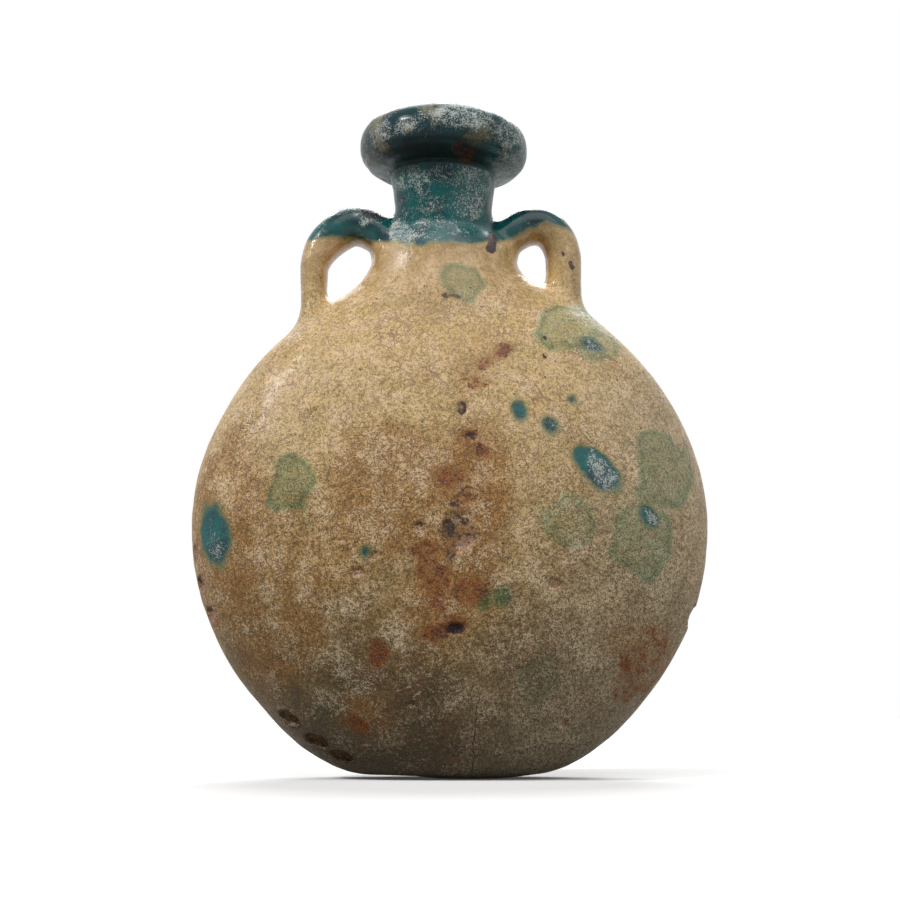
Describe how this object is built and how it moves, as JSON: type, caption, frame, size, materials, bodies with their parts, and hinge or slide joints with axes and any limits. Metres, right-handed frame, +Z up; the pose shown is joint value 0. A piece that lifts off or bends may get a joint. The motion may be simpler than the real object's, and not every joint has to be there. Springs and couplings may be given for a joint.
{
  "type": "glazed flask",
  "caption": "Round lens-shaped moon flask of glazed clay with a narrow neck, thick rolled lip, two small shoulder loops and a small flat foot.",
  "frame": {"origin": "on the table under the middle of the body, in the plane of the flat foot", "axes": "+Z up through the neck, front face towards -Y, +X to the right seen from the front"},
  "size_m": [0.191, 0.088, 0.2475],
  "materials": {
    "buff_glaze": "satin",
    "slip": "matte",
    "turquoise_glaze": "gloss",
    "neck_slip_glaze": "satin",
    "lip_glaze": "gloss",
    "loop_glaze": "satin"
  },
  "bodies": {
    "root": {"front_shell": "buff_glaze", "back_shell": "buff_glaze", "seam_slip": "slip", "neck": "turquoise_glaze", "neck_slip": "neck_slip_glaze", "rim_ring": "lip_glaze", "left_handle": "loop_glaze", "right_handle": "loop_glaze"}
  },
  "joints": []
}
